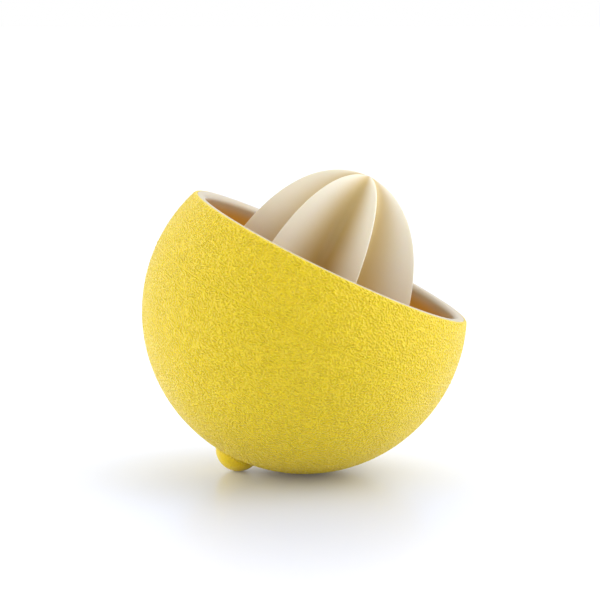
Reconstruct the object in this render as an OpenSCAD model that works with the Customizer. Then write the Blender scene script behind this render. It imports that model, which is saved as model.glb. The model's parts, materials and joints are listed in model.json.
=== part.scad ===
// Citrus squeezer bowl: a silicone ball with its top cut open, a hard bowl inside it,
// and a ribbed reamer with a strainer ring that drops into the mouth and lifts out again.
// The ball leans on the nub at its pole. The table is z = 0, the ball rests on it at the origin,
// and the bowl's own axis leans towards +X. Lengths are in millimetres, angles in degrees.

/* [Bowl] */
// Outer radius of the ball
ball_r = 52.5; // [46:0.5:60]
// Height of the rim above the ball's centre, along the bowl's axis
rim_rise = 20.1; // [15:0.1:24]
// Angle between the bowl's axis and the vertical when it rests on its nub
lean = 25.5; // [23:0.25:28]

/* [Silicone skin] */
// Wall of the silicone
skin_wall = 2.4; // [1.8:0.1:3.2]
// Rounding of the skin's outer top edge
skin_edge_r = 1; // [0.5:0.1:1.4]
// Height of the mould parting line that runs round the equator
seam_rise = 0.12; // [0.05:0.01:0.25]
// Radius of the parting line's round bead
seam_r = 0.4; // [0.3:0.05:0.6]

/* [Nub] */
// Radius of the nub's dome, which touches the table
nub_r = 7.4; // [6:0.1:9]
// Radius of the hollow where the nub grows out of the ball
nub_root_r = 0.6; // [0.3:0.1:1.5]

/* [Inner bowl] */
// Wall of the inner bowl
liner_wall = 2; // [1.5:0.1:2.6]
// Thickness of the inner bowl's lip, which lies in a rebate of the skin's top edge
lip_t = 0.6; // [0.5:0.05:0.9]
// Height of the lip above the skin's top edge
lip_rise = 0.1; // [0:0.05:0.3]
// Distance that the lip stays back from where the skin's edge starts to round off
lip_setback = 0.3; // [0.1:0.05:0.6]
// Rounding of the lip's outer edge
lip_edge_r = 0.3; // [0.1:0.05:0.45]
// Rounding of the mouth's inner edge
mouth_edge_r = 1.6; // [1:0.1:2]

/* [Keys] */
// Number of keys in the inner bowl that stop the reamer from turning
keys = 3; // [2, 3, 6]
// Radius of a key
key_r = 2.2; // [1.6:0.1:2.6]
// Height of a key above the strainer's upper face
key_rise = 3; // [1:0.2:5]

/* [Reamer] */
// Number of ribs
ribs = 6; // [5:1:8]
// Turn of the reamer in the bowl, from the leaning side to the nearest rib
rib_turn = -12.5; // [-30:0.5:30]
// Height of the reamer's tip above the rim
tip_rise = 28.3; // [22:0.1:34]
// Distance from the foot of a ridge to the outer ends of the slots
ridge_room = 6; // [5.4:0.1:9]
// Radius of the valleys between the ribs at the strainer
valley_r = 12.5; // [10.5:0.1:15]
// How late the ridges turn in towards the tip
ridge_fullness = 2.7; // [2:0.1:5]
// How late the valleys turn in towards the tip
valley_fullness = 5; // [3:0.1:7]
// How bluntly the reamer ends, from 1, a plain point, to 2.4, a flat end
bluntness = 2.1; // [1.2:0.1:2.4]
// How hollow the ribs' flanks are, from 1.8, full, to 2.8, hollow
flank_hollow = 2.4; // [1.8:0.05:2.8]
// Rounding where the ribs grow out of the strainer
rib_root_r = 2; // [1:0.1:3]
// Wall of the reamer in its valleys
reamer_wall = 1.8; // [1.4:0.1:2.2]
// Depth of solid plastic behind a ridge
ridge_wall = 6.6; // [5.6:0.1:8]
// Depth of solid plastic under the tip
tip_wall = 7; // [6:0.2:12]

/* [Strainer] */
// Thickness of the strainer ring
strainer_t = 1.8; // [1.4:0.1:2.6]
// Number of slots
slots = 36; // [24:6:42]
// Width of a slot
slot_w = 1.6; // [1:0.1:1.8]
// Width of the plain band between the slots and the strainer's edge
strainer_band = 3.6; // [3.5:0.1:5]
// Distance between a rib's foot and the slots
slot_clear = 1.2; // [0.6:0.1:2]

/* [Fits] */
// Gap between the skin and the inner bowl
skin_gap = 0.05; // [0.02:0.01:0.1]
// Gap between the strainer's edge and the wall that it sits on
seat_gap = 0.2; // [0.1:0.05:0.4]
// Gap between the strainer's edge and the mouth as it is lifted out
mouth_gap = 1; // [0.6:0.1:1.5]
// Gap round each key
key_gap = 0.3; // [0.2:0.05:0.5]

/* [Hidden] */
$fn = 96;

silicone_yellow = [0.93, 0.82, 0.25];
nylon_cream = [0.88, 0.82, 0.66];

// Height at which a ball of radius r, centred on the axis, is w wide, and its width at height h
function ball_height(r, w) = sqrt(r * r - w * w);
function ball_width(r, h) = sqrt(r * r - h * h);

// Skin and inner bowl, as radii of concentric balls and heights above their centre
skin_in_r = ball_r - skin_wall;
liner_out_r = skin_in_r - skin_gap;
liner_in_r = liner_out_r - liner_wall;
skin_top = rim_rise - lip_rise;
skin_edge = [ball_width(ball_r - skin_edge_r, skin_top - skin_edge_r), skin_top - skin_edge_r];
mouth_edge = [ball_width(liner_in_r + mouth_edge_r, rim_rise - mouth_edge_r), rim_rise - mouth_edge_r];
mouth_r = mouth_edge[0] - mouth_edge_r;
lip_r = skin_edge[0] - lip_setback;
lip_low = rim_rise - lip_t;

// Nub: its dome touches the table that the ball rests on, so the lean sets how far it reaches
nub_far = (ball_r - nub_r) / cos(lean);

// Centre of the root's hollow, which touches both the ball and the dome from outside
root_far = ball_r + nub_root_r;
root_near = nub_r + nub_root_r;
root_turn = acos((nub_far * nub_far + root_far * root_far - root_near * root_near)
    / (2 * nub_far * root_far));
root_at = [root_far * sin(root_turn), -root_far * cos(root_turn)];

// Strainer: as wide as the mouth lets through, and resting low on the inner bowl's wall
seat_r = liner_in_r - seat_gap;
strainer_r = mouth_r - mouth_gap;
strainer_top = -ball_height(seat_r, strainer_r);
strainer_low = strainer_top - strainer_t;
tip_top = rim_rise + tip_rise;
slot_out_r = strainer_r - strainer_band;
ridge_r = slot_out_r - ridge_room;

// Levels in each stretch of the lofts, and points on each flank of a rib
loft_levels = 22;
root_levels = 4;
hollow_levels = 16;
flank_points = 5;
// Longer than anything here, for cutting tools that pass right through
far = 2 * ball_r;
// How far the arc of a corner or a root reaches past the sides that it joins
hair = 0.01;

// Stands the bowl on the table, leaning on its nub
module leaning() {
    translate([0, 0, ball_r])
        rotate([0, lean, 0])
            children();
}

// Copies of a piece spread evenly round the bowl's axis, in line with the ribs
module around(count) {
    for (i = [0 : count - 1])
        rotate(rib_turn + i * 360 / count)
            children();
}

// The half of a section that is revolved, up to height h
module below(h) {
    translate([0, h - 2 * far])
        square([far, 2 * far]);
}

// Rounds a section's corner. The arc meets its two sides in the directions first and last, and
// reaches a hair past them, because an arc that only touches a side can leave a sliver of a face.
module round_corner(at, r, first, last) {
    difference() {
        children();
        difference() {
            polygon([at, at + 2 * r * first, at + 2 * r * (first + last), at + 2 * r * last]);
            translate(at)
                circle(r + hair);
        }
    }
}

// Direction from the ball's centre to a point of the section
function outward(p) = p / norm(p);

// Half section of the nub: its dome and the hollow round its root
module nub_section() {
    translate([0, -nub_far])
        circle(nub_r);
    difference() {
        polygon([[0, 0], [0, -nub_far], root_at]);
        translate(root_at)
            circle(nub_root_r + hair);
    }
}

// Yellow skin: the ball, its nub and the parting line, hollowed out for the inner bowl and its lip
module silicone_bowl() {
    color(silicone_yellow)
        leaning()
            rotate_extrude()
                difference() {
                    round_corner(skin_edge, skin_edge_r, [0, 1], outward(skin_edge))
                        intersection() {
                            union() {
                                circle(ball_r);
                                translate([ball_r + seam_rise - seam_r, 0])
                                    circle(seam_r);
                                nub_section();
                            }
                            below(skin_top);
                        }
                    circle(skin_in_r);
                    translate([0, lip_low - skin_gap])
                        square([lip_r + skin_gap, far]);
                }
}

// Half section of the inner bowl: a shell with a lip that lies in the skin's top edge
module liner_section() {
    round_corner([lip_r - lip_edge_r, rim_rise - lip_edge_r], lip_edge_r, [0, 1], [1, 0])
        round_corner(mouth_edge, mouth_edge_r, [0, 1], -outward(mouth_edge))
            difference() {
                union() {
                    intersection() {
                        circle(liner_out_r);
                        below(rim_rise);
                    }
                    translate([mouth_r, lip_low])
                        square([lip_r - mouth_r, lip_t]);
                }
                circle(liner_in_r);
            }
}

// Upright round rib with a domed top. Its foot runs down through the inner bowl's wall.
module key() {
    translate([strainer_r, 0, -ball_r])
        cylinder(r = key_r, h = ball_r + strainer_top + key_rise);
    translate([strainer_r, 0, strainer_top + key_rise])
        sphere(key_r);
}

// Cream bowl that holds the juice, with the keys that stop the reamer from turning
module inner_bowl() {
    color(nylon_cream)
        leaning() {
            rotate_extrude()
                liner_section();
            intersection() {
                around(keys)
                    key();
                sphere(liner_in_r + liner_wall / 2);
            }
        }
}

// How wide the reamer still is at a share of its height, from 1 at the strainer to 0 at the tip
function taper(share, fullness) = pow(1 - pow(share, fullness), 1 / bluntness);

// How far a point of a flank stands out, from 1 on the ridge to 0 in the valley
function flank(turn) = pow(1 - turn, flank_hollow);

// Radius of the star-shaped section at a turn from a ridge, in shares of half a rib's pitch
function star_r(turn, ridge, valley) = valley + (ridge - valley) * flank(turn);

// One level of a loft: a star with a sharp ridge on each rib and round valleys between them
function star(ridge, valley, z) = [
    for (step = [0 : 2 * flank_points * ribs - 1])
        let (
            turn = abs((step + flank_points) % (2 * flank_points) - flank_points) / flank_points,
            r = star_r(turn, ridge, valley),
            a = step * 180 / flank_points / ribs
        )
        [r * cos(a), r * sin(a), z]
];

// Solid between a stack of levels with as many points each, closed at a point at either end
module loft(levels, bottom, top) {
    n = len(levels[0]);
    last = (len(levels) - 1) * n;
    polyhedron(
        points = [for (level = levels) each level, bottom, top],
        faces = [
            for (j = [0 : n - 1])
                [j, (j + 1) % n, last + n],
            for (start = [0 : n : last - n], j = [0 : n - 1])
                let (a = start + j, b = start + (j + 1) % n)
                each [[a, a + n, b], [b, a + n, b + n]],
            for (j = [0 : n - 1])
                [last + j, last + n + 1, last + (j + 1) % n]
        ]
    );
}

// Outside of the ribs, from within the strainer up to the tip, with rounded feet
module ribs_outside() {
    height = tip_top - strainer_low;
    foot = [
        for (i = [0 : root_levels])
            let (a = 90 * i / root_levels)
            [strainer_top + rib_root_r * (1 - cos(a)), rib_root_r * (1 - sin(a))]
    ];
    foot_top = foot[root_levels][0];
    rest = [
        for (i = [1 : loft_levels - 1])
            [foot_top + (tip_top - foot_top) * (1 - pow(1 - i / loft_levels, 1.7)), 0]
    ];
    loft(
        [
            for (level = concat([[strainer_top - strainer_t / 2, rib_root_r]], foot, rest))
                let (share = (level[0] - strainer_low) / height)
                star(
                    ridge_r * taper(share, ridge_fullness) + level[1],
                    valley_r * taper(share, valley_fullness) + level[1],
                    level[0]
                )
        ],
        [0, 0, strainer_top - strainer_t / 2],
        [0, 0, tip_top]
    );
}

// Hollow inside the ribs, open below
module ribs_inside() {
    height = tip_top - tip_wall - strainer_low;
    loft(
        [
            for (i = [0 : hollow_levels - 1])
                let (share = 1 - pow(1 - i / hollow_levels, 1.5))
                star(
                    (ridge_r - ridge_wall) * taper(share, ridge_fullness),
                    (valley_r - reamer_wall) * taper(share, valley_fullness),
                    i == 0 ? strainer_low - strainer_t : strainer_low + height * share
                )
        ],
        [0, 0, strainer_low - strainer_t],
        [0, 0, tip_top - tip_wall]
    );
}

// Slots between the ribs' feet and the plain band, longer where a valley leaves more room
module slots_outline() {
    for (i = [0 : slots - 1])
        let (
            step = (i * 2 * ribs / slots) % 2,
            foot = star_r(min(step, 2 - step), ridge_r, valley_r) + rib_root_r + slot_clear,
            end = slot_out_r - slot_w / 2,
            start = min(foot + slot_w / 2, end - slot_w)
        )
        rotate(i * 360 / slots) {
            translate([start, -slot_w / 2])
                square([end - start, slot_w]);
            for (x = [start, end])
                translate([x, 0])
                    circle(slot_w / 2);
        }
}

// Round plate with slots, an edge that fits the ball-shaped wall, and a notch for each key
module strainer() {
    difference() {
        intersection() {
            translate([0, 0, strainer_low])
                linear_extrude(strainer_t)
                    difference() {
                        circle(strainer_r + strainer_t);
                        slots_outline();
                    }
            sphere(seat_r);
        }
        for (i = [0 : keys - 1])
            rotate(i * 360 / keys)
                translate([strainer_r, 0, strainer_low - strainer_t])
                    cylinder(r = key_r + key_gap, h = 3 * strainer_t);
    }
}

// Cream insert that a half fruit is pressed on: the ribs and the strainer in one piece
module reamer() {
    color(nylon_cream)
        leaning()
            rotate(rib_turn)
                difference() {
                    union() {
                        strainer();
                        ribs_outside();
                    }
                    ribs_inside();
                }
}

silicone_bowl();
inner_bowl();
reamer();
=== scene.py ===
# %% [markdown]
# # A ball-shaped citrus squeezer
# The object has three pieces. A soft silicone ball has its top cut open and leans on a small
# nub. A hard cream bowl sits inside it and holds the juice. A ribbed reamer with a strainer
# ring drops into the bowl's mouth, and a hand lifts it straight out again.
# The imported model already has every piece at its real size, in metres. It is loaded first and
# never changed: the finer pieces that are made below stand exactly where it says.

# %% Load the frame
import math
import json

import bpy
from mathutils import Matrix, Vector


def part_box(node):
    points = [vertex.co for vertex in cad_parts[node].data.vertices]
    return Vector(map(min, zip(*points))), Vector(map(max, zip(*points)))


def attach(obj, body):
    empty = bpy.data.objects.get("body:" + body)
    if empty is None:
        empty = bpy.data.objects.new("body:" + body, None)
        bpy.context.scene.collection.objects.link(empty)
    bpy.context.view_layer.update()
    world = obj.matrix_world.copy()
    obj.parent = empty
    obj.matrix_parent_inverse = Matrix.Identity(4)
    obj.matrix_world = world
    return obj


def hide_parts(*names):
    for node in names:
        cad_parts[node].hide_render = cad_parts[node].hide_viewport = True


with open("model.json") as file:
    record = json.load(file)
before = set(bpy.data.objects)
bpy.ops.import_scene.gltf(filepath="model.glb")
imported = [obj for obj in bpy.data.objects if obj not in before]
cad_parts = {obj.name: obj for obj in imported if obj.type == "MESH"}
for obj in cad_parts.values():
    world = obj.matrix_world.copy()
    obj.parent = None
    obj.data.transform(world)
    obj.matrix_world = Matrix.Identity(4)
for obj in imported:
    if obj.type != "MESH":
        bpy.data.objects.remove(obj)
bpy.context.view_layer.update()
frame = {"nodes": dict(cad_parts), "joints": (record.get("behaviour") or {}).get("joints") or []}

print("pieces in the frame:", sorted(frame["nodes"]))

# %% [markdown]
# ## Measuring the frame
# All three pieces share one axis, which leans, so their shapes are simplest in a frame of their
# own: the origin is the ball's centre, and +Z runs along the axis out of the mouth. The slide
# joint gives the axis. Turning every point of a CAD mesh into its distance from the axis and its
# height along it then gives the sizes that the new meshes have to meet.

# %% The bowl's own frame
mm = 0.001
seam_rise = 0.12 * mm
lean = math.atan2(frame["joints"][0]["axis"][0], frame["joints"][0]["axis"][2])
ball_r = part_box("silicone_bowl")[1].y - seam_rise
stand = Matrix.Translation((0, 0, ball_r)) @ Matrix.Rotation(lean, 4, "Y")


def profile_of(node):
    """Every point of a CAD node as (distance from the bowl's axis, height above the centre)."""
    to_bowl = stand.inverted()
    points = [to_bowl @ v.co for v in frame["nodes"][node].data.vertices]
    return [(math.hypot(p.x, p.y), p.z) for p in points]


skin_top = max(height for _, height in profile_of("silicone_bowl"))
rim_top = max(height for _, height in profile_of("inner_bowl"))
strainer_r, strainer_top = max(profile_of("reamer"))
strainer_low = min(height for _, height in profile_of("reamer"))
tip_top = max(height for _, height in profile_of("reamer"))
print(f"ball {ball_r / mm:.2f} mm, lean {math.degrees(lean):.1f} degrees, rim {rim_top / mm:.2f} mm")
print(f"strainer {strainer_r / mm:.2f} mm at {strainer_top / mm:.2f}, tip {tip_top / mm:.2f} mm")

# %% Walls and roundings
skin_wall = 2.4 * mm
skin_gap = 0.05 * mm
liner_wall = 2.0 * mm
skin_in_r = ball_r - skin_wall
liner_out_r = skin_in_r - skin_gap
liner_in_r = liner_out_r - liner_wall
skin_edge_r = 1.0 * mm
mouth_edge_r = 1.6 * mm
lip_t = 0.6 * mm
lip_setback = 0.3 * mm
lip_edge_r = 0.3 * mm
lip_low = rim_top - lip_t
seat_r = math.hypot(strainer_r, strainer_top)


def ball_width(r, height):
    """How far a ball of radius r reaches from the axis at a height above its centre."""
    return math.sqrt(r * r - height * height)


skin_edge = (ball_width(ball_r - skin_edge_r, skin_top - skin_edge_r), skin_top - skin_edge_r)
mouth_edge = (ball_width(liner_in_r + mouth_edge_r, rim_top - mouth_edge_r), rim_top - mouth_edge_r)
lip_r = skin_edge[0] - lip_setback
print(f"mouth {(mouth_edge[0] - mouth_edge_r) / mm:.2f} mm, lip {lip_r / mm:.2f} mm")

# %% [markdown]
# ## Revolving an outline
# A ball, a bowl and a nub are all turned shapes, so each is half a section that is spun round
# the axis. Blender's Screw modifier could spin it, but it puts as many points on the tiny rings
# near the axis as on the widest one. This revolve halves the number of points whenever a ring
# gets small enough, so that the grain that is pressed in later finds even, nearly square faces.
# Each point of a section is a distance from the axis, a height and the spacing wanted there.

# %% Outline and revolve


def degrees_of(point):
    """The direction of a point of a section, in degrees from the outward direction."""
    return math.degrees(math.atan2(point[1], point[0]))


def arc(centre, r, start, end, step):
    """Points of an arc between two angles in degrees, each with the spacing it asks for."""
    count = max(2, math.ceil(math.radians(abs(end - start)) * r / step))
    angles = [math.radians(start + (end - start) * i / count) for i in range(count + 1)]
    return [(centre[0] + r * math.cos(a), centre[1] + r * math.sin(a), step) for a in angles]


def new_piece(name, points, faces):
    """A smooth-shaded object with this mesh."""
    mesh = bpy.data.meshes.new(name)
    mesh.from_pydata(points, [], faces)
    mesh.shade_smooth()
    piece = bpy.data.objects.new(name, mesh)
    bpy.context.scene.collection.objects.link(piece)
    return piece


def bridge(a, b):
    """Faces between two rings of point numbers. One may have twice as many as the other, or one."""
    if len(b) > len(a):
        return [face[::-1] for face in bridge(b, a)]
    near, far = [*a, a[0]], [*b, b[0]]
    if len(b) == 1:
        return [(b[0], near[j + 1], near[j]) for j in range(len(a))]
    if len(b) == len(a):
        return [(far[j], far[j + 1], near[j + 1], near[j]) for j in range(len(a))]
    faces = []
    for j in range(len(b)):
        left, middle, right = near[2 * j : 2 * j + 3]
        faces += [(far[j], middle, left), (far[j], far[j + 1], middle), (far[j + 1], right, middle)]
    return faces


closest = 0.7
on_axis = 1e-9


def revolve(name, outline, most):
    """Spins a half section from axis to axis, with at most this many points on a ring.

    Points that come closer than a share, closest, of the spacing asked for halve the ring.
    """
    points, faces, before = [], [], []
    for r, height, step in outline:
        count = most
        while count % 2 == 0 and 2 * math.pi * r / count < closest * step:
            count //= 2
        if before and len(before) > 1:
            count = min(max(count, len(before) // 2), 2 * len(before))
        if r < on_axis:
            count = 1
        numbers = list(range(len(points), len(points) + count))
        turns = [2 * math.pi * i / count for i in range(count)]
        points += [(r * math.cos(a), r * math.sin(a), height) for a in turns]
        if before:
            faces += bridge(before, numbers)
        before = numbers
    return new_piece(name, points, faces)


# %% [markdown]
# ## The silicone ball
# The outline runs up the inside of the wall, out and up the rebate that takes the inner bowl's
# lip, round the soft top edge, down the outside past the mould's parting line, through the hollow
# at the nub's root and over the nub's dome to the axis. The dome has to touch the table that the
# ball rests on, so the lean sets how far it reaches. Each arc touches the next, which is what
# makes a moulded corner look soft.

# %% Places on the nub
nub_r = 7.4 * mm
root_r = 0.6 * mm
nub_far = (ball_r - nub_r) / math.cos(lean)
root_far = ball_r + root_r
root_near = nub_r + root_r
cosine = (nub_far**2 + root_far**2 - root_near**2) / (2 * nub_far * root_far)
root_turn = math.acos(cosine)
root = (root_far * math.sin(root_turn), -root_far * math.cos(root_turn))
print(f"nub ends {(nub_far + nub_r) / mm:.2f} mm below the ball's centre")

# %% Silicone mesh
grain_step = 0.34 * mm
widest_ring = 960
hidden_step = 2.0 * mm
edge_step = 0.16 * mm
seam_half = 0.3 * mm


def with_seam(point):
    """Lifts a point of the ball's outline where the parting line runs round the equator."""
    r, height, step = point
    if abs(height) >= seam_half:
        return point
    return r + seam_rise * math.cos(math.pi / 2 * height / seam_half) ** 2, height, step


edge_turn = degrees_of(skin_edge)
seam_turn = math.degrees(2 * seam_half / ball_r)
root_start = math.degrees(root_turn) - 90
to_nub = degrees_of((-root[0], -nub_far - root[1])) % 360
rebate_low = lip_low - skin_gap
rebate_r = lip_r + skin_gap
silicone_outline = [
    *arc((0, 0), skin_in_r, -90, math.degrees(math.asin(rebate_low / skin_in_r)), hidden_step),
    (rebate_r, rebate_low, edge_step),
    (rebate_r, skin_top, edge_step),
    *arc(skin_edge, skin_edge_r, 90, edge_turn, edge_step),
    *arc((0, 0), ball_r, edge_turn, seam_turn, grain_step)[1:],
    *[with_seam(p) for p in arc((0, 0), ball_r, seam_turn, -seam_turn, edge_step)[1:]],
    *arc((0, 0), ball_r, -seam_turn, root_start, grain_step)[1:],
    *arc(root, root_r, root_start + 180, to_nub, grain_step / 3)[1:],
    *arc((0, -nub_far), nub_r, to_nub - 180, -90, grain_step / 2)[1:-1],
    (0, -nub_far - nub_r, grain_step),
]
silicone_outline[0] = (0, -skin_in_r, hidden_step)
silicone = revolve("silicone_skin", silicone_outline, widest_ring)
print(f"silicone ball of {len(silicone.data.vertices)} points")

# %% [markdown]
# ## Sums of sockets
# A material or a geometry node tree is a graph, but most of what it says is arithmetic. This
# class wraps one output socket so that Python's own operators add the Math nodes. Any other node
# comes from one method, which takes the node's type, its settings and what goes into its sockets.

# %% A wrapped socket


class Wire:
    """One output socket of a node tree, which can be used like a number."""

    def __init__(self, tree, socket):
        self.tree = tree
        self.socket = socket

    def node(self, kind, settings, sockets, out=0):
        """A new node of this type: settings first, then a value or a wire for each socket."""
        node = self.tree.nodes.new(kind)
        for name, value in settings.items():
            setattr(node, name, value)
        for name, value in sockets.items():
            if isinstance(value, Wire):
                self.tree.links.new(value.socket, node.inputs[name])
            else:
                node.inputs[name].default_value = value
        return Wire(self.tree, node.outputs[out])

    def math(self, operation, *values):
        """A Math node on these values."""
        return self.node("ShaderNodeMath", {"operation": operation}, dict(enumerate(values)))

    def vector(self, operation, *values, out=0):
        """A Vector Math node on these values. A length comes out of its socket Value."""
        return self.node("ShaderNodeVectorMath", {"operation": operation}, dict(enumerate(values)), out)

    def smooth(self, low, high):
        """0 below low and 1 above high, with a soft turn at either end."""
        sockets = {"Value": self, "From Min": low, "From Max": high}
        return self.node("ShaderNodeMapRange", {"interpolation_type": "SMOOTHSTEP"}, sockets)

    def mix(self, low, high):
        """The colour low where this wire is 0 and the colour high where it is 1."""
        return self.node("ShaderNodeMix", {"data_type": "RGBA"}, {0: self, 6: low, 7: high}, 2)

    def __add__(self, other):
        return self.math("ADD", self, other)

    def __sub__(self, other):
        return self.math("SUBTRACT", self, other)

    def __mul__(self, other):
        return self.math("MULTIPLY", self, other)

    def __rsub__(self, other):
        return self.math("SUBTRACT", other, self)

    __radd__ = __add__
    __rmul__ = __mul__


# %% [markdown]
# ## The peel grain
# The mould gave the silicone a grain like citrus peel: short worm-like ridges about a millimetre
# apart that run every way. Gabor noise is made of little wave packets, and without a fixed
# direction it gives just such ridges. The same function of place serves twice. A Geometry Nodes
# modifier presses the grain into the mesh, which makes it real, and the material adds a bump for
# what is finer than the mesh. The grain dies out at the rim's soft edge, along the parting line
# and nearly so on the nub.

# %% Peel grain
grain_pitch = 1.0 * mm
grain_depth = 0.12 * mm
waves_per_packet = 1.35
valley_level = 0.27
ridge_level = 0.73


def peel(place):
    """Height of the grain from 0, in the valleys, to 1, on the ridges."""
    sockets = {
        "Vector": place,
        "Scale": 1 / (grain_pitch * waves_per_packet),
        "Frequency": waves_per_packet,
        "Anisotropy": 0.0,
    }
    gabor = place.node("ShaderNodeTexGabor", {"gabor_type": "3D"}, sockets)
    return gabor.smooth(valley_level, ridge_level)


skin_depth = 0.15 * mm
rim_fade = 0.5 * mm
nub_fade = 0.9 * mm
nub_plain = 0.85
seam_fade = 0.4 * mm


def grained(place):
    """1 where the silicone has its grain and 0 where it is smooth."""
    far = place.vector("LENGTH", place, out="Value")
    height = place.node("ShaderNodeSeparateXYZ", {}, {0: place}, 2)
    outside = far.smooth(ball_r - rim_fade, ball_r - skin_depth)
    off_nub = 1 - far.smooth(ball_r + skin_depth, ball_r + nub_fade) * nub_plain
    off_seam = height.math("ABSOLUTE", height).smooth(seam_half / 2, seam_fade)
    return outside * off_nub * off_seam


print(f"grain {grain_pitch / mm:.2f} mm apart and {grain_depth / mm:.2f} mm deep")

# %% Press the grain into the mesh
press = bpy.data.node_groups.new("press_grain", "GeometryNodeTree")
press.interface.new_socket("Geometry", in_out="INPUT", socket_type="NodeSocketGeometry")
press.interface.new_socket("Geometry", in_out="OUTPUT", socket_type="NodeSocketGeometry")
skin_in = Wire(press, press.nodes.new("NodeGroupInput").outputs[0])
place = Wire(press, press.nodes.new("GeometryNodeInputPosition").outputs[0])
normal = Wire(press, press.nodes.new("GeometryNodeInputNormal").outputs[0])
sink = (peel(place) - 1) * grained(place) * grain_depth
offset = normal.node("ShaderNodeVectorMath", {"operation": "SCALE"}, {0: normal, "Scale": sink})
pressed = skin_in.node("GeometryNodeSetPosition", {}, {"Geometry": skin_in, "Offset": offset})
press.links.new(pressed.socket, press.nodes.new("NodeGroupOutput").inputs[0])
silicone.modifiers.new("press grain", "NODES").node_group = press


def apply_modifiers(piece):
    """Makes what the modifiers show into the piece's own mesh."""
    graph = bpy.context.evaluated_depsgraph_get()
    mesh = bpy.data.meshes.new_from_object(piece.evaluated_get(graph), depsgraph=graph)
    mesh.materials.clear()
    piece.modifiers.clear()
    piece.data = mesh


apply_modifiers(silicone)
print(f"grain pressed into {len(silicone.data.vertices)} points")

# %% [markdown]
# ## The inner bowl
# The bowl is another turned shape: a shell with a rounded mouth and a thin lip that lies in the
# silicone's rebate. Three keys stand on its wall and stop the reamer from turning. They are
# turned too, then moved to the wall, and a Boolean modifier melts them into it. The Manifold
# solver needs closed meshes and in return is fast and leaves no loose faces.

# %% Turn and join


def combine(piece, operation, *others):
    """Joins others to piece, or cuts them from it, and removes them."""
    for other in others:
        step = piece.modifiers.new(operation, "BOOLEAN")
        step.operation = operation
        step.solver = "MANIFOLD"
        step.object = other
    apply_modifiers(piece)
    for other in others:
        bpy.data.objects.remove(other)
    return piece


def moved(piece, place, turn=0.0):
    """piece with its mesh moved in the bowl's frame, then turned about the bowl's axis."""
    piece.data.transform(Matrix.Rotation(turn, 4, "Z") @ Matrix.Translation(place))
    return piece


# %% Bowl
bowl_step = 0.9 * mm
corner_step = 0.2 * mm
lip_step = 0.08 * mm
ledge_step = 0.5 * mm
turned_ring = 384
mouth_edge_end = degrees_of((-mouth_edge[0], -mouth_edge[1])) % 360
lip_edge = (lip_r - lip_edge_r, rim_top - lip_edge_r)
bowl_outline = [
    (0, -liner_in_r, bowl_step),
    *arc((0, 0), liner_in_r, -90, mouth_edge_end - 180, bowl_step)[1:],
    *arc(mouth_edge, mouth_edge_r, mouth_edge_end, 90, corner_step)[1:],
    *arc(lip_edge, lip_edge_r, 90, 0, lip_step),
    (lip_r, lip_low, ledge_step),
    *arc((0, 0), liner_out_r, math.degrees(math.asin(lip_low / liner_out_r)), -90, hidden_step)[:-1],
    (0, -liner_out_r, hidden_step),
]
bowl = revolve("inner_bowl_shell", bowl_outline, turned_ring)
print(f"bowl of {len(bowl.data.vertices)} points")

# %% Keys
ribs = 6
keys = 3
rib_turn = math.radians(-12.5)
key_r = 2.2 * mm
key_rise = 3.0 * mm
key_foot = 9.0 * mm
key_gap = 0.3 * mm
key_step = 0.3 * mm
key_ring = 64
wall_ring = 256


def key(number):
    """A round rib with a domed top that stands on the bowl's wall, in line with a rib."""
    top = strainer_top + key_rise
    outline = [
        (0, top + key_r, key_step),
        *arc((0, top), key_r, 90, 0, corner_step)[1:],
        (key_r, strainer_top - key_foot, key_step),
        (0, strainer_top - key_foot, key_step),
    ]
    piece = revolve(f"key_{number}", outline, key_ring)
    middle_r = liner_in_r + liner_wall / 2
    ball = [(0, middle_r, mm), *arc((0, 0), middle_r, 90, -90, mm)[1:-1], (0, -middle_r, mm)]
    wall = revolve(f"wall_{number}", ball, wall_ring)
    turn = rib_turn + number * 2 * math.pi / keys
    return combine(moved(piece, (strainer_r, 0, 0), turn), "INTERSECT", wall)


combine(bowl, "UNION", *[key(i) for i in range(keys)])
print(f"bowl with {keys} keys: {len(bowl.data.vertices)} points")

# %% [markdown]
# ## The reamer
# Six ribs rise to one blunt tip. Each level of the form is a star: sharp ridges, round valleys
# and hollow flanks between them. A loft joins the levels, and two formulas say how wide ridges
# and valleys still are at each height. A real ridge is not a knife, so the turn is softened close
# to it, by the same few tenths of a millimetre from foot to tip. The hollow inside is a second,
# plainer loft that is cut away.

# %% Sizes of the reamer
valley_r = 12.5 * mm
plain_band = 3.6 * mm
ridge_room = 6.0 * mm
slot_out_r = strainer_r - plain_band
ridge_r = slot_out_r - ridge_room
ridge_wall = 6.6 * mm
reamer_wall = 1.8 * mm
tip_wall = 7.0 * mm
strainer_t = strainer_top - strainer_low
ridge_fullness = 2.7
valley_fullness = 5.0
bluntness = 2.1
flank_hollow = 2.4
rib_root_r = 2.0 * mm
ridge_nose = 0.24 * mm
half_pitch = math.pi / ribs
print(f"at the foot, ridges at {ridge_r / mm:.2f} mm and valleys at {valley_r / mm:.2f} mm")

# %% Star-shaped levels
ridge_crowding = 1.5
nose_power = 3


def taper(share, fullness):
    """Width left at a share of the height, from 1 at the strainer to 0 at the tip."""
    return max(0.0, 1 - share**fullness) ** (1 / bluntness)


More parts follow.
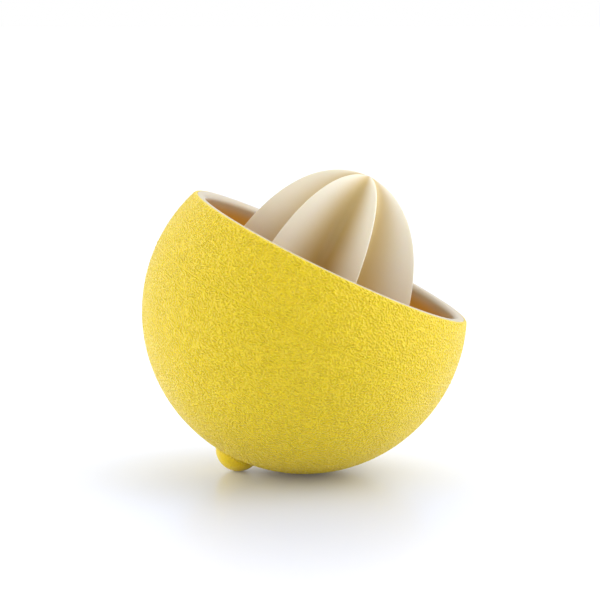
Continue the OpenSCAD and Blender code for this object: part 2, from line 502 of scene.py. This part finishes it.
def star(ridge, valley, height, flank_points, nose=0.0):
    """Points of one level, closer together near the ridges, which are rounded by nose."""
    blunt = nose / (ridge * half_pitch)
    flank = [(i / flank_points) ** ridge_crowding for i in range(flank_points + 1)]
    ring = []
    for rib in range(ribs):
        for turn in [*flank[:-1], *[2 - t for t in flank[:0:-1]]]:
            away = min(turn, 2 - turn) ** nose_power + blunt**nose_power
            away = min(1.0, away ** (1 / nose_power))
            r = valley + (ridge - valley) * (1 - away) ** flank_hollow
            a = (2 * rib + turn) * half_pitch
            ring.append((r * math.cos(a), r * math.sin(a), height))
    return ring


def loft(name, levels, low, high):
    """A closed skin over a stack of rings with as many points each, ending at two points."""
    count = len(levels[0])
    points = [low, *[co for level in levels for co in level], high]
    rings = [range(1 + i * count, 1 + (i + 1) * count) for i in range(len(levels))]
    rings = [[0], *rings, [len(points) - 1]]
    faces = [face[::-1] for a, b in zip(rings, rings[1:]) for face in bridge(a, b)]
    return new_piece(name, points, faces)


# %% Ribs
foot_steps = 8
foot_sink = 0.02 * mm
rib_levels = 90
rib_crowding = 1.8
rib_flank_points = 20
hollow_levels = 40
hollow_crowding = 1.5
hollow_flank_points = 10


def ribs_outside():
    """The ribs from inside the strainer up to the tip, with rounded feet."""
    height = tip_top - strainer_low
    turns = [math.pi / 2 * i / foot_steps for i in range(foot_steps + 1)]
    foot = [
        (strainer_top - foot_sink + rib_root_r * (1 - math.cos(a)), rib_root_r * (1 - math.sin(a)))
        for a in turns
    ]
    foot_top = foot[-1][0]
    rest = [
        (foot_top + (tip_top - foot_top) * (1 - (1 - i / rib_levels) ** rib_crowding), 0)
        for i in range(1, rib_levels)
    ]
    start = strainer_top - strainer_t / 2
    levels = []
    for z, spread in [(start, rib_root_r), *foot, *rest]:
        share = (z - strainer_low) / height
        ridge = ridge_r * taper(share, ridge_fullness) + spread
        valley = valley_r * taper(share, valley_fullness) + spread
        levels.append(star(ridge, valley, z, rib_flank_points, ridge_nose))
    return loft("reamer_ribs", levels, (0, 0, start), (0, 0, tip_top))


def ribs_inside():
    """The hollow under the ribs, which is open below."""
    top = tip_top - tip_wall
    below = strainer_low - strainer_t
    levels = []
    for i in range(hollow_levels):
        share = 1 - (1 - i / hollow_levels) ** hollow_crowding
        ridge = (ridge_r - ridge_wall) * taper(share, ridge_fullness)
        valley = (valley_r - reamer_wall) * taper(share, valley_fullness)
        z = below if i == 0 else strainer_low + (top - strainer_low) * share
        levels.append(star(ridge, valley, z, hollow_flank_points))
    return loft("reamer_hollow", levels, (0, 0, below), (0, 0, top))


# %% [markdown]
# ### The strainer
# The ring round the ribs' feet is a turned plate whose edge is a piece of a ball, so it sits on
# the bowl's wall all the way round. Its slots and notches are cut with prisms that flare a
# little at both faces of the plate, which leaves each hole with rounded edges.

# %% Plate and cutters
edge_r = 0.25 * mm
slots = 36
slot_w = 1.6 * mm
slot_clear = 1.2 * mm
plate_edge_step = 0.06 * mm
plate_step = 0.4 * mm
flare_steps = 4
end_steps = 12


def plate():
    """The strainer ring before its slots are cut, with soft edges."""
    top_edge = (ball_width(seat_r - edge_r, strainer_top - edge_r), strainer_top - edge_r)
    low_edge = (ball_width(seat_r - edge_r, strainer_low + edge_r), strainer_low + edge_r)
    outline = [
        (0, strainer_top, mm),
        *arc(top_edge, edge_r, 90, degrees_of(top_edge), plate_edge_step),
        *arc((0, 0), seat_r, degrees_of(top_edge), degrees_of(low_edge), plate_step)[1:-1],
        *arc(low_edge, edge_r, degrees_of(low_edge), -90, plate_edge_step),
        (0, strainer_low, mm),
    ]
    return revolve("reamer", outline, turned_ring)


def hole(name, start, end, r, turn):
    """A prism with round ends, from start to end along a spoke, flared where it meets a face."""
    turns = [math.pi / 2 * i / flare_steps for i in range(flare_steps + 1)]
    rounding = [(edge_r * (1 - math.cos(a)), edge_r * math.sin(a)) for a in turns]
    top = [(strainer_top - edge_r + rise, grow) for grow, rise in rounding]
    low = [(strainer_low + edge_r - rise, grow) for grow, rise in rounding]
    stack = [(low[-1][0] - mm, edge_r), *low[::-1], *top, (top[-1][0] + mm, edge_r)]
    half_circle = [180 * i / end_steps for i in range(end_steps + 1)]
    rim = [(x, math.radians(a + more)) for x, a in ((end, -90), (start, 90)) for more in half_circle]
    levels = [
        [(x + (r + grow) * math.cos(a), (r + grow) * math.sin(a), z) for x, a in rim]
        for z, grow in stack
    ]
    middle = (start + end) / 2
    cutter = loft(name, levels, (middle, 0, stack[0][0]), (middle, 0, stack[-1][0]))
    return moved(cutter, (0, 0, 0), turn)


def slot(number):
    """One slot of the strainer, which runs from a rib's foot out to the plain band."""
    turn = number * 2 * math.pi / slots
    step = (turn / half_pitch) % 2
    foot = valley_r + (ridge_r - valley_r) * (1 - min(step, 2 - step)) ** flank_hollow
    end = slot_out_r - slot_w / 2
    start = min(foot + rib_root_r + slot_clear + slot_w / 2, end - slot_w)
    return hole(f"slot_{number}", start, end, slot_w / 2, turn)


def notch(number):
    """Room for one of the bowl's keys in the strainer's edge."""
    turn = number * 2 * math.pi / keys
    return hole(f"notch_{number}", strainer_r, strainer_r + key_r, key_r + key_gap, turn)


# %% Join the reamer
reamer = plate()
combine(reamer, "DIFFERENCE", *[slot(i) for i in range(slots)], *[notch(i) for i in range(keys)])
combine(reamer, "UNION", ribs_outside())
combine(reamer, "DIFFERENCE", ribs_inside())
moved(reamer, (0, 0, 0), rib_turn)
print(f"reamer: {len(reamer.data.vertices)} points")

# %% [markdown]
# ## Standing the pieces up
# So far every mesh lies in the bowl's own frame. Each object is now leaned and lifted as a whole,
# and its mesh stays as it is, so a material that reads Object coordinates still sees the bowl's
# axis as Z. Each piece rides on the body that carries it and stands for its CAD node. Faces that
# meet at a steep angle, as at a ledge or a face of the strainer, keep a sharp edge in the shading.

# %% Place and ride
sharp_from = math.radians(32)
names = {
    "silicone_skin": (silicone, "bowl", "silicone_bowl", "silicone"),
    "inner_bowl_shell": (bowl, "bowl", "inner_bowl", "bowl_plastic"),
    "ribbed_reamer": (reamer, "insert", "reamer", "reamer_plastic"),
}
for name, (piece, body, node, slot_name) in names.items():
    piece.name = name
    piece.data.name = name
    piece.data.set_sharp_from_angle(angle=sharp_from)
    piece.matrix_world = stand
    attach(piece, body)
    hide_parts(node)
    print(f"{name} rides on {body} and stands for {node}")

# %% [markdown]
# ## Silicone
# Moulded silicone is opaque, a little waxy and never quite even. Light sinks into it a short way,
# which subsurface scattering gives. The grain is seen by its relief, so the base colour is only
# slightly deeper in the valleys, which is painted shade, and drifts over patches of a few
# centimetres. The ridges are handled, so they are a bit smoother than the valleys. The bump is
# deeper than the grain in the mesh, whose faces are too coarse for the steep sides of a ridge.

# %% A material and its place


def finish(name, **constants):
    """A material's Principled shader and the Object coordinates, with sockets that never vary."""
    material = bpy.data.materials.new(name)
    material.use_nodes = True
    tree = material.node_tree
    shader = tree.nodes["Principled BSDF"]
    for socket, value in constants.items():
        shader.inputs[socket.replace("_", " ")].default_value = value
    place = Wire(tree, tree.nodes.new("ShaderNodeTexCoord").outputs["Object"])
    return material, shader, place


def feed(shader, **wires):
    """Links wires to the shader's sockets."""
    for socket, wire in wires.items():
        wire.tree.links.new(wire.socket, shader.inputs[socket.replace("_", " ")])


def noise(place, size, detail=2.0):
    """Soft noise from 0 to 1 with features of this size."""
    return place.node("ShaderNodeTexNoise", {}, {"Vector": place, "Scale": 1 / size, "Detail": detail})


def bump(height, depth):
    """A normal that looks as if the surface rose by depth where height is 1."""
    return height.node("ShaderNodeBump", {}, {"Height": height, "Distance": depth, "Strength": 1.0})


# %% Silicone colours and numbers
# Painted shade: the grain's valleys get a deeper yellow than its ridges.
shaded_valley_yellow = (0.80, 0.570, 0.002, 1)
ridge_yellow = (0.96, 0.710, 0.005, 1)
grain_shade = 0.85
plain_shade = 0.6
patch_shade = 0.15
patch_size = 22 * mm
valley_roughness = 0.40
ridge_polish = 0.10
patch_roughness = 0.06
pore_size = 0.18 * mm
pore_height = 0.04
bump_depth = grain_depth * 3.4
print(f"silicone from {shaded_valley_yellow[:3]} to {ridge_yellow[:3]}")

# %% Silicone finish
silicone_finish, shader, place = finish(
    "yellow_silicone",
    IOR=1.42,
    Specular_IOR_Level=0.60,
    Subsurface_Weight=0.15,
    Subsurface_Scale=0.004,
    Sheen_Weight=0.06,
    Sheen_Roughness=0.40,
)
shader.inputs["Subsurface Radius"].default_value = (1.0, 0.6, 0.1)
grain = peel(place)
cover = grained(place)
patches = noise(place, patch_size)
# Painted shade: where the grain is low the colour mixes towards the deeper valley yellow, and the
# patches vary it at random.
shade = grain * cover * grain_shade + (1 - cover) * plain_shade + patches * patch_shade
pores = noise(place, pore_size, 3.0)
feed(
    shader,
    Base_Color=shade.mix(shaded_valley_yellow, ridge_yellow),
    Roughness=valley_roughness - grain * ridge_polish + patches * patch_roughness,
    Normal=bump(grain * cover + pores * pore_height, bump_depth),
)
silicone.data.materials.append(silicone_finish)
print("silicone finished")

# %% [markdown]
# ## Cream plastic
# The bowl and the reamer are moulded in cream plastic, the bowl's a shade greyer. It lets a
# little light in, so its shadows turn warm, most of all where one wall lights the next, deep
# between the ribs and down in the bowl. A painted shade gives that: a colour that turns warmer
# and darker with the depth, below the rim or behind the ridges. The surface has the fine
# unevenness of a polished mould.

# %% Cream finish
cloud_size = 9 * mm
ripple_size = 1.6 * mm
ripple_height = 0.02 * mm
deep_share = 0.9
cloud_share = 0.10
cream_roughness = 0.30
cloud_roughness = 0.10


def cream_finish(name, cream, painted_shade_cream, depth_of):
    """Satin cream plastic with a painted shade, warmer and darker where depth_of says that it lies
    deep.
    """
    constants = {"IOR": 1.5, "Subsurface_Weight": 0.18, "Subsurface_Scale": 0.003}
    material, shader, place = finish(name, **constants)
    shader.inputs["Subsurface Radius"].default_value = (1.0, 0.7, 0.3)
    clouds = noise(place, cloud_size)
    ripple = noise(place, ripple_size, 3.0)
    # Painted shade: the colour turns warmer and darker with the depth, and the clouds only vary it at
    # random.
    feed(
        shader,
        Base_Color=(depth_of(place) * deep_share + clouds * cloud_share).mix(cream, painted_shade_cream),
        Roughness=cream_roughness + clouds * cloud_roughness,
        Normal=bump(ripple, ripple_height),
    )
    return material


# %% Depth in the bowl and between the ribs
# Where the painted shade lies: deep in the bowl and between the ribs, and none near the rim or on the
# ridges.
unshaded_band = 1 * mm
deep_below = 6 * mm
deep_within = 0.38
unshaded_beyond = 0.90


def below_rim(place):
    """Weight of the painted shade: 0 at the rim and 1 well down in the bowl."""
    height = place.node("ShaderNodeSeparateXYZ", {}, {0: place}, 2)
    return 1 - height.smooth(rim_top - deep_below, rim_top - unshaded_band)


def between_ribs(place):
    """Weight of the painted shade: 0 on the ridges and 1 in the valleys between them."""
    height = place.node("ShaderNodeSeparateXYZ", {}, {0: place}, 2)
    flat = place.vector("MULTIPLY", place, (1, 1, 0))
    far = flat.vector("LENGTH", flat, out="Value")
    share = (height - strainer_low) * (1 / (tip_top - strainer_low))
    ridge = 1 - share.math("POWER", share, ridge_fullness)
    ridge = ridge.math("POWER", ridge, 1 / bluntness) * ridge_r
    return 1 - far.math("DIVIDE", far, ridge).smooth(deep_within, unshaded_beyond)


# %% Two creams
# Each cream, and the darker, warmer painted-shade colour that it turns to with the depth.
bowl_cream = (0.60, 0.545, 0.44, 1)
bowl_painted_shade = (0.72, 0.36, 0.04, 1)
reamer_cream = (0.90, 0.84, 0.68, 1)
reamer_painted_shade = (0.62, 0.44, 0.14, 1)
bowl.data.materials.append(cream_finish("cream_bowl", bowl_cream, bowl_painted_shade, below_rim))
reamer.data.materials.append(cream_finish("cream_reamer", reamer_cream, reamer_painted_shade, between_ribs))
print("cream pieces finished")

# %% [markdown]
# ## Floor
# A product photographer stands such a thing on white acrylic that goes pure white. Here the floor
# glows instead, a painted light in place of acrylic lit from below, and the glow is weakest near
# the ball, a painted shadow there. The shade reaches forward and is narrow across, so the place is
# shifted and stretched before its distance is taken. The acrylic is a little blue, to balance the
# light that a yellow ball throws on it.

# %% Floor
floor_half = 6.0
acrylic_white = (0.735, 0.785, 0.94, 1)
painted_shadow_glow = (0.13, 0.13, 0.20, 1)
full_glow = (1, 1, 1, 1)
shade_forward = 45 * mm
shade_narrower = 1.9
glow_from = 30 * mm
glow_full = 172 * mm
corners = [(x * floor_half, y * floor_half, 0) for x, y in ((-1, -1), (1, -1), (1, 1), (-1, 1))]
floor = new_piece("floor", corners, [(0, 1, 2, 3)])
floor_finish, shader, place = finish(
    "white_acrylic",
    Base_Color=acrylic_white,
    Roughness=0.24,
    Specular_IOR_Level=0.3,
    Emission_Strength=0.24,
)
shift = {"Vector": place, "Location": (0, shade_forward, 0), "Scale": (shade_narrower, 1, 1)}
shifted = place.node("ShaderNodeMapping", {}, shift)
far = shifted.vector("LENGTH", shifted, out="Value")
# Painted shadow: the floor's glow is dim and bluish near the ball and full white farther out.
feed(shader, Emission_Color=far.smooth(glow_from, glow_full).mix(painted_shadow_glow, full_glow))
floor.data.materials.append(floor_finish)
print("floor laid")

# %% [markdown]
# ## Light and camera
# The other light comes from a tent of white cloth, and the world is that tent. It is lit most
# from the left and the right, less from above at the right and behind, and hardly from the
# front, so the ball is brightest at its sides. Each light is a power of how far a direction
# points towards it, and a higher power makes a smaller light. What the camera sees past the
# ball stays plain white. A long lens from just above the table keeps the ball round.

# %% Light tent
scene = bpy.context.scene
world = bpy.data.worlds.new("light_tent")
scene.world = world
world.use_nodes = True
tree = world.node_tree
sky = Wire(tree, tree.nodes.new("ShaderNodeTexCoord").outputs["Generated"])
right, behind, above = [sky.node("ShaderNodeSeparateXYZ", {}, {0: sky}, axis) for axis in range(3)]
left = right * -1.0
front = behind * -1.0
right_above = (right + above) * 0.707
behind_above = behind * 0.8 + above * 0.6
wide, narrower, small = 2.0, 4.0, 6.0
everywhere = 0.08


def glow(toward, sharpness):
    """Light from one side of the tent: a wire that is 1 straight towards it and 0 beside it."""
    return toward.math("POWER", toward.math("MAXIMUM", toward, 0.0), sharpness)


tent = glow(left, wide) * 2.15 + glow(left, small) * 1.00
tent = tent + glow(right, wide) * 1.50 + glow(right, small) * 0.60
tent = tent + glow(right_above, small) * 1.93 + glow(behind_above, small) * 1.42
tent = tent + glow(above, narrower) * 0.30 + glow(front, wide) * 0.14 + everywhere
seen = Wire(tree, tree.nodes.new("ShaderNodeLightPath").outputs["Is Camera Ray"])
strength = seen + (1 - seen) * tent
background = tree.nodes["Background"]
background.inputs["Color"].default_value = (1, 1, 1, 1)
tree.links.new(strength.socket, background.inputs["Strength"])
scene.view_settings.view_transform = "Standard"
print("tent lit")

# %% Camera
frame_width = 193.9 * mm
frame_pixels = 600
ball_from_middle = (-4.5, 11.3)
lens = 150
elevation = math.radians(7.6)
camera_data = bpy.data.cameras.new("camera")
camera_data.lens = lens
camera = bpy.data.objects.new("camera", camera_data)
scene.collection.objects.link(camera)
scene.camera = camera
pixel = frame_width / frame_pixels
distance = frame_width * lens / camera_data.sensor_width
turned = Matrix.Rotation(math.pi / 2 - elevation, 4, "X")
aside = Vector((ball_from_middle[0] * pixel, ball_from_middle[1] * pixel, 0))
aim = Vector((0, 0, ball_r)) + turned.to_3x3() @ aside
camera.matrix_world = Matrix.Translation(aim) @ turned @ Matrix.Translation((0, 0, distance))
print(f"camera {distance:.3f} m away")
